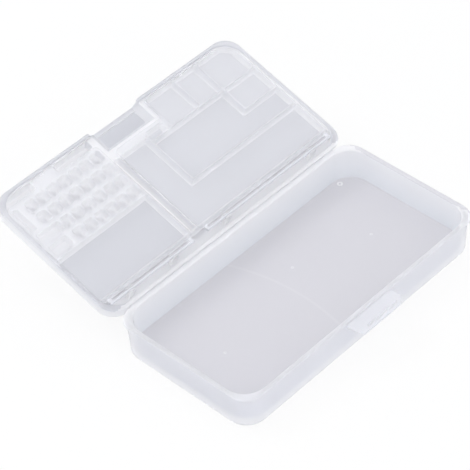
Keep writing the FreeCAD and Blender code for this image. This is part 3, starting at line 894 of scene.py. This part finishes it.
def latch_flap():
    """A tapered plate with one cut corner and a hook bead, drawn level at its crease and then turned up."""
    work = bmesh.new()
    narrow = FLAP_HALF - FLAP_TAPER
    edge = FLAP_TAPER * FLAP_CORNER / (FLAP_ROOT - FLAP_TIP)
    plate = [
        (FLAP_HALF, FLAP_ROOT, ROOT_CORNER),
        (-FLAP_HALF, FLAP_ROOT, ROOT_CORNER),
        (-narrow, FLAP_TIP, TIP_CORNER),
        (narrow - FLAP_CORNER, FLAP_TIP, TIP_CORNER),
        (narrow + edge, FLAP_TIP + FLAP_CORNER, TIP_CORNER),
    ]
    top = FLAP_THICK / 2
    soft_plate(work, plate, -top, top, FLAP_ROUND)
    flap = new_object("latch_flap_plate", work)
    bead = bmesh.new()
    half = narrow - FLAP_CORNER - HOOK_INSET
    hook = box_corners(-half, half, HOOK_NEAR, HOOK_NEAR + HOOK_THICK, HOOK_CORNER)
    soft_plate(bead, hook, -top / 2, top + HOOK_TALL, HOOK_ROUND)
    combine(flap, "UNION", [new_object("hook_bead", bead)])
    # Painted highlight: the flap's side faces are whitened
    mark(flap, "pale", lambda spot, normal: abs(normal.x) > FACING_SIDE)
    lay(flap, Matrix.Translation(FLAP_CREASE) @ Matrix.Rotation(-FLAP_LIFT, 4, "X"))
    smooth(flap)
    return flap


# Marks on the base's floor

def scatter_marks(shape, spots, finish):
    """Copies of a small raised shape at points on the base's floor, made by a node tree."""
    points = bpy.data.meshes.new("mark_points")
    points.from_pydata([(x * MM, y * MM, BASE_FLOOR * MM) for x, y in spots], [], [])
    thing = bpy.data.objects.new("floor_marks", points)
    bpy.context.scene.collection.objects.link(thing)
    values = {"Shape": shape, "Finish": finish}
    tree, given, result, named = node_tree("scatter_marks", values)
    nodes, links = tree.nodes, tree.links
    source = nodes.new("GeometryNodeObjectInfo")
    links.new(given.outputs["Shape"], source.inputs["Object"])
    place = nodes.new("GeometryNodeInstanceOnPoints")
    links.new(given.outputs["Geometry"], place.inputs["Points"])
    links.new(source.outputs["Geometry"], place.inputs["Instance"])
    finish_tree(tree, given, result, place.outputs["Instances"])
    run_tree(thing, tree, named, values)
    bpy.data.objects.remove(shape)
    return thing


def turned_shape(name, profile):
    """A ring turned about Z from a closed profile of radius and height."""
    work = bmesh.new()
    rings = []
    for radius, height in profile:
        ring = []
        for k in range(MARK_SIDES):
            angle = 2 * math.pi * k / MARK_SIDES
            ring.append(work.verts.new((radius * math.cos(angle), radius * math.sin(angle), height)))
        rings.append(ring)
    skin(work, rings + rings[:1])
    return new_object(name, work)


def floor_marks(finish):
    """Low ring-shaped witness marks that the mould's pins left on the base's floor."""
    sunk = -0.05
    pin = [(0.25, sunk), (1.1, sunk), (1.1, 0.06), (0.95, 0.16), (0.55, 0.16), (0.25, 0.04)]
    ring = [(0.8, sunk), (2.0, sunk), (2.0, 0.1), (1.75, 0.22), (1.05, 0.22), (0.8, 0.1)]
    pins = scatter_marks(turned_shape("pin_shape", pin), PIN_MARKS + (GATE_MARK,), finish)
    rings = scatter_marks(turned_shape("ring_shape", ring), (RING_MARK,), finish)
    return pins, rings


# Finishes

def milky_plastic(name, painted_shade_tone, flow_line_and_painted_wall_shade=False):
    """Milky plastic that lets soft light through, with painted shade on marked floors, hollows and rims,
    painted highlights on marked walls and crests, and a fine grain.
    """
    material = bpy.data.materials.new(name)
    material.use_nodes = True
    nodes, links = material.node_tree.nodes, material.node_tree.links
    surface = nodes["Principled BSDF"]
    surface.inputs["Transmission Weight"].default_value = 0.66
    surface.inputs["IOR"].default_value = 1.12
    surface.inputs["Coat Weight"].default_value = 0.25
    surface.inputs["Coat Roughness"].default_value = 0.2
    place = nodes.new("ShaderNodeTexCoord")
    cloud = nodes.new("ShaderNodeTexNoise")
    cloud.inputs["Scale"].default_value = 18.0
    cloud.inputs["Detail"].default_value = 3.0
    links.new(place.outputs["Object"], cloud.inputs["Vector"])
    tint = nodes.new("ShaderNodeValToRGB")
    tint.color_ramp.elements[0].position = 0.3
    tint.color_ramp.elements[1].position = 0.7
    tint.color_ramp.elements[0].color = (0.925, 0.928, 0.958, 1)
    tint.color_ramp.elements[1].color = (0.94, 0.942, 0.968, 1)
    links.new(cloud.outputs["Fac"], tint.inputs["Fac"])
    # Painted shade: faces marked "thin" turn towards the darker tone
    shade = marked_faces(nodes, links, "thin", tint.outputs["Color"], painted_shade_tone)
    # Painted highlight: faces marked "pale" turn towards near white
    colour = marked_faces(nodes, links, "pale", shade, (0.98, 0.98, 1.0, 1))
    if flow_line_and_painted_wall_shade:
        colour = with_flow_line(nodes, links, place, colour)
        # Painted shade on the base's inner walls, darker and bluer towards the floor
        colour = with_painted_wall_shade(nodes, links, place, colour)
    links.new(colour, surface.inputs["Base Color"])
    grain = nodes.new("ShaderNodeTexNoise")
    grain.inputs["Scale"].default_value = 2600.0
    grain.inputs["Detail"].default_value = 2.0
    links.new(place.outputs["Object"], grain.inputs["Vector"])
    rough = nodes.new("ShaderNodeMapRange")
    rough.inputs["To Min"].default_value = 0.34
    rough.inputs["To Max"].default_value = 0.48
    links.new(grain.outputs["Fac"], rough.inputs["Value"])
    links.new(rough.outputs["Result"], surface.inputs["Roughness"])
    bump = nodes.new("ShaderNodeBump")
    bump.inputs["Strength"].default_value = 0.08
    bump.inputs["Distance"].default_value = 0.0001
    links.new(grain.outputs["Fac"], bump.inputs["Height"])
    links.new(bump.outputs["Normal"], surface.inputs["Normal"])
    return material


def marked_faces(nodes, links, name, colour, tone):
    """Turns a colour towards a tone on the faces that carry a mark."""
    marked = nodes.new("ShaderNodeAttribute")
    marked.attribute_name = name
    blend = nodes.new("ShaderNodeMix")
    blend.data_type = "RGBA"
    blend.inputs["B"].default_value = tone
    links.new(marked.outputs["Fac"], blend.inputs["Factor"])
    links.new(colour, blend.inputs["A"])
    return blend.outputs["Result"]


def with_flow_line(nodes, links, place, colour):
    """Adds a faint light arc, where two flows of plastic met as the base was moulded."""
    away = nodes.new("ShaderNodeVectorMath")
    away.operation = "DISTANCE"
    flat = nodes.new("ShaderNodeVectorMath")
    flat.operation = "MULTIPLY"
    flat.inputs[1].default_value = (1, 1, 0)
    links.new(place.outputs["Object"], flat.inputs[0])
    links.new(flat.outputs["Vector"], away.inputs[0])
    away.inputs[1].default_value = (FLOW_CENTRE[0] * MM, FLOW_CENTRE[1] * MM, 0)
    miss = nodes.new("ShaderNodeMath")
    miss.operation = "SUBTRACT"
    miss.inputs[1].default_value = FLOW_RADIUS * MM
    links.new(away.outputs["Value"], miss.inputs[0])
    size = nodes.new("ShaderNodeMath")
    size.operation = "ABSOLUTE"
    links.new(miss.outputs["Value"], size.inputs[0])
    line = nodes.new("ShaderNodeMapRange")
    line.interpolation_type = "SMOOTHSTEP"
    line.inputs["From Max"].default_value = 0.0016
    line.inputs["To Min"].default_value = 0.15
    line.inputs["To Max"].default_value = 0.0
    links.new(size.outputs["Value"], line.inputs["Value"])
    pale = nodes.new("ShaderNodeMix")
    pale.data_type = "RGBA"
    pale.inputs["B"].default_value = (0.95, 0.95, 0.97, 1)
    links.new(line.outputs["Result"], pale.inputs["Factor"])
    links.new(colour, pale.inputs["A"])
    return pale.outputs["Result"]


def with_painted_wall_shade(nodes, links, place, colour):
    """Paints shade on the inside of the base's walls, bluer and darker towards the floor."""
    height = nodes.new("ShaderNodeSeparateXYZ")
    links.new(place.outputs["Object"], height.inputs["Vector"])
    depth = nodes.new("ShaderNodeMapRange")
    depth.inputs["From Min"].default_value = BASE_FLOOR * MM
    depth.inputs["From Max"].default_value = BASE_TALL * MM
    depth.inputs["To Min"].default_value = 0.75
    depth.inputs["To Max"].default_value = 0.05
    links.new(height.outputs["Z"], depth.inputs["Value"])
    inner = nodes.new("ShaderNodeAttribute")
    inner.attribute_name = "inner"
    share = nodes.new("ShaderNodeMath")
    share.operation = "MULTIPLY"
    links.new(depth.outputs["Result"], share.inputs[0])
    links.new(inner.outputs["Fac"], share.inputs[1])
    blend = nodes.new("ShaderNodeMix")
    blend.data_type = "RGBA"
    # Blue-grey colour of the painted shade
    blend.inputs["B"].default_value = (0.765, 0.805, 0.88, 1)
    links.new(share.outputs["Value"], blend.inputs["Factor"])
    links.new(colour, blend.inputs["A"])
    return blend.outputs["Result"]


def clear_plastic():
    """A thin clear sheet with a satin face that light passes straight through, and a milky rod and arms."""
    material = bpy.data.materials.new("clear_sheet")
    material.use_nodes = True
    nodes, links = material.node_tree.nodes, material.node_tree.links
    surface = nodes["Principled BSDF"]
    surface.inputs["Base Color"].default_value = (0.82, 0.825, 0.87, 1)
    surface.inputs["IOR"].default_value = 1.49
    place = nodes.new("ShaderNodeTexCoord")
    haze = nodes.new("ShaderNodeTexNoise")
    haze.inputs["Scale"].default_value = 60.0
    links.new(place.outputs["Object"], haze.inputs["Vector"])
    rough = nodes.new("ShaderNodeMapRange")
    rough.inputs["To Min"].default_value = 0.28
    rough.inputs["To Max"].default_value = 0.38
    links.new(haze.outputs["Fac"], rough.inputs["Value"])
    links.new(rough.outputs["Result"], surface.inputs["Roughness"])
    edge = nodes.new("ShaderNodeAttribute")
    edge.attribute_name = "edge"
    solid = nodes.new("ShaderNodeMapRange")
    solid.inputs["To Min"].default_value = 0.12
    solid.inputs["To Max"].default_value = 0.8
    links.new(edge.outputs["Fac"], solid.inputs["Value"])
    links.new(solid.outputs["Result"], surface.inputs["Alpha"])
    return material


# Stage, light and camera

def stage_floor():
    """A white floor that keeps a faint shadow."""
    mesh = bpy.data.meshes.new("floor")
    reach = 3.0
    under = -0.0002
    spots = [(-reach, -reach, under), (reach, -reach, under), (reach, reach, under), (-reach, reach, under)]
    mesh.from_pydata(spots, [], [(0, 1, 2, 3)])
    floor = bpy.data.objects.new("floor", mesh)
    bpy.context.scene.collection.objects.link(floor)
    material = bpy.data.materials.new("white_floor")
    material.use_nodes = True
    nodes, links = material.node_tree.nodes, material.node_tree.links
    nodes.remove(nodes["Principled BSDF"])
    paper = nodes.new("ShaderNodeBsdfDiffuse")
    paper.inputs["Color"].default_value = (0.9, 0.9, 0.9, 1)
    white = nodes.new("ShaderNodeEmission")
    blend = nodes.new("ShaderNodeMixShader")
    share = nodes.new("ShaderNodeMath")
    share.operation = "MULTIPLY"
    share.inputs[1].default_value = 0.86
    links.new(seen_directly(nodes, links), share.inputs[0])
    links.new(share.outputs["Value"], blend.inputs["Fac"])
    links.new(paper.outputs["BSDF"], blend.inputs[1])
    links.new(white.outputs["Emission"], blend.inputs[2])
    links.new(blend.outputs["Shader"], nodes["Material Output"].inputs["Surface"])
    mesh.materials.append(material)


def seen_directly(nodes, links):
    """One for rays that show the background: from the camera, in a reflection or through clear plastic."""
    path = nodes.new("ShaderNodeLightPath")
    total = path.outputs["Is Camera Ray"]
    for kind in ("Is Glossy Ray", "Is Transmission Ray"):
        most = nodes.new("ShaderNodeMath")
        most.operation = "MAXIMUM"
        links.new(total, most.inputs[0])
        links.new(path.outputs[kind], most.inputs[1])
        total = most.outputs["Value"]
    return total


def studio_light():
    """Soft light from all round, a lamp behind the box and one in front of it."""
    world = bpy.data.worlds.new("studio")
    bpy.context.scene.world = world
    world.use_nodes = True
    nodes, links = world.node_tree.nodes, world.node_tree.links
    soft = nodes["Background"]
    soft.inputs["Color"].default_value = (0.97, 0.98, 1.0, 1)
    soft.inputs["Strength"].default_value = 0.95
    white = nodes.new("ShaderNodeBackground")
    white.inputs["Color"].default_value = (1, 1, 1, 1)
    blend = nodes.new("ShaderNodeMixShader")
    links.new(seen_directly(nodes, links), blend.inputs["Fac"])
    links.new(soft.outputs["Background"], blend.inputs[1])
    links.new(white.outputs["Background"], blend.inputs[2])
    links.new(blend.outputs["Shader"], nodes["World Output"].inputs["Surface"])
    lamp("key_lamp", (-0.5, 0.9, 1.3), 0.9, 5.0)
    lamp("fill_lamp", (-0.35, -1.36, 0.8), 1.0, 3.0)


def lamp(name, place, size, power):
    """A round lamp that shines at the middle of the open box."""
    light = bpy.data.lights.new(name, "AREA")
    light.shape = "DISK"
    light.size = size
    light.energy = power
    holder = bpy.data.objects.new(name, light)
    holder.location = place
    middle = Vector((0, 0.05, 0))
    aim = middle - Vector(place)
    holder.rotation_euler = aim.to_track_quat("-Z", "Y").to_euler()
    bpy.context.scene.collection.objects.link(holder)


def photo_camera():
    """The photograph's view: where the camera stands, what it looks at, its roll and its lens."""
    place = Vector((-728.36, -693.30, 1018.78)) * MM
    target = Vector((12.58, 67.21, 0.0)) * MM
    roll = math.radians(-3.845)
    data = bpy.data.cameras.new("photo_camera")
    data.sensor_width = 36.0
    data.lens = 178.98
    camera = bpy.data.objects.new("photo_camera", data)
    look = (target - place).to_track_quat("-Z", "Y").to_matrix().to_4x4()
    camera.matrix_world = Matrix.Translation(place) @ look @ Matrix.Rotation(roll, 4, "Z")
    bpy.context.scene.collection.objects.link(camera)
    bpy.context.scene.camera = camera


def dress(thing, material, body, node):
    """Gives a piece its finish and its body, and hides the CAD node that it stands for."""
    thing.data.materials.clear()
    thing.data.materials.append(material)
    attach(thing, body)
    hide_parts(node)


# The same milky plastic twice: a darker painted shade tone for the lid, and for the base a flow line and
# painted shade on its inner walls
frosted = milky_plastic("milky_plastic", (0.5, 0.515, 0.575, 1))
frosted_base = milky_plastic("milky_base", (0.715, 0.708, 0.755, 1), flow_line_and_painted_wall_shade=True)
clear = clear_plastic()
dress(base_tray(frosted_base), frosted_base, "base", "base_tray")
dress(lid_tray(frosted), frosted, "lid", "lid_tray")
dress(left_cover(), clear, "cover_left", "left_cover")
dress(right_cover(), clear, "cover_right", "right_cover")
dress(latch_strap(), frosted, "strap", "latch_strap")
dress(latch_flap(), frosted, "flap", "latch_flap")
dress(hinge_web(), frosted, "lid", "hinge_web")

stage_floor()
studio_light()
photo_camera()
bpy.context.scene.view_settings.view_transform = "Standard"
